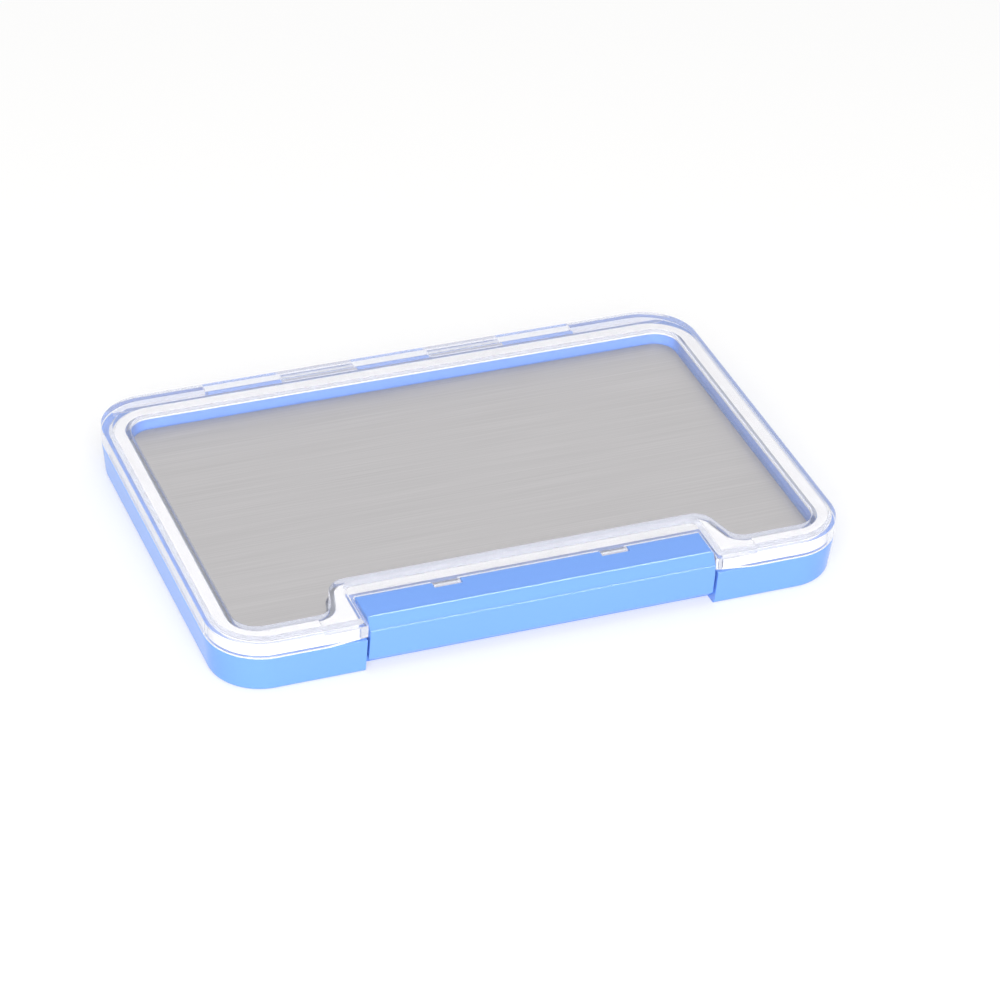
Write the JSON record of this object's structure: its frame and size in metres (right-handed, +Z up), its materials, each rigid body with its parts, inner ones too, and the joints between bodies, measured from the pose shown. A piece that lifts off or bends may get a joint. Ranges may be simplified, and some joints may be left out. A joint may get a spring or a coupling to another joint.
{
  "type": "slim waterproof fishing jig box",
  "caption": "Slim hinged jig box: moulded tray with slit foam, clear gasketed lid with a sunk steel plate, and a wide snap latch on the front edge.",
  "frame": {"origin": "middle of the underside, on the surface that the box rests on", "axes": "+X along the box's length, +Y from the latch to the hinge, +Z up through the lid"},
  "size_m": [0.188, 0.1306, 0.0177],
  "materials": {
    "blue_abs": "satin moulded",
    "clear_polycarbonate": "clear polished",
    "brushed_plate": "brushed along the length",
    "pin_steel": "drawn wire",
    "silicone": "matt",
    "eva_foam": "fine cell, slit",
    "adhesive": "film"
  },
  "bodies": {
    "base": {"base_tray": "blue_abs", "foam_insert": "eva_foam", "foam_tape": "adhesive", "hinge_pin_left": "pin_steel", "hinge_pin_right": "pin_steel"},
    "lid": {"lid_shell": "clear_polycarbonate", "lid_gasket": "silicone", "lid_plate": "brushed_plate", "plate_tape": "adhesive", "latch_pin": "pin_steel"},
    "latch": {"latch_lever": "blue_abs"}
  },
  "joints": [
    {"name": "lid_hinge", "type": "hinge", "parent": "base", "child": "lid", "pos_m": [0, 0.0624, 0.0115], "axis": [-1, 0, 0], "range_deg": [0, 110]},
    {"name": "latch_pivot", "type": "hinge", "parent": "lid", "child": "latch", "pos_m": [0, -0.0531, 0.0157], "axis": [-1, 0, 0], "range_deg": [0, 100]}
  ]
}
